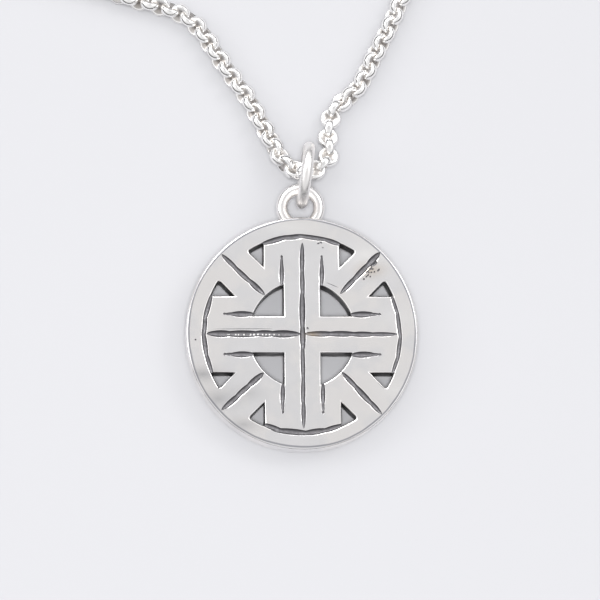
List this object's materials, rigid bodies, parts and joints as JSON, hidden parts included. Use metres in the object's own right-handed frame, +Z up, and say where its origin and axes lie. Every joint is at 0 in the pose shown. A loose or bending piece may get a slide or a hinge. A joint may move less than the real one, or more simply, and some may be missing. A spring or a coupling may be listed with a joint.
{
  "type": "knotwork pendant on a chain",
  "caption": "Round silver pendant pierced and grooved with a cross in a ring, with a bail, a jump ring and a round-link necklace chain, lying flat.",
  "frame": {"origin": "middle of the laid-out piece's footprint, on the surface it lies on", "axes": "+Z up out of the surface, +Y from the pendant's lower rim past its bail to the clasp, +X to the right of the pendant seen from above"},
  "size_m": [0.1442, 0.1835, 0.0071],
  "materials": {
    "pendant_silver": "satin cast silver with dark oxidised grooves",
    "ring_silver": "softly polished silver",
    "chain_silver": "bright polished silver"
  },
  "bodies": {
    "root": {"pendant": "pendant_silver", "jump_ring": "ring_silver", "chain_front": "chain_silver", "chain_back": "chain_silver", "clasp": "ring_silver"}
  },
  "joints": []
}
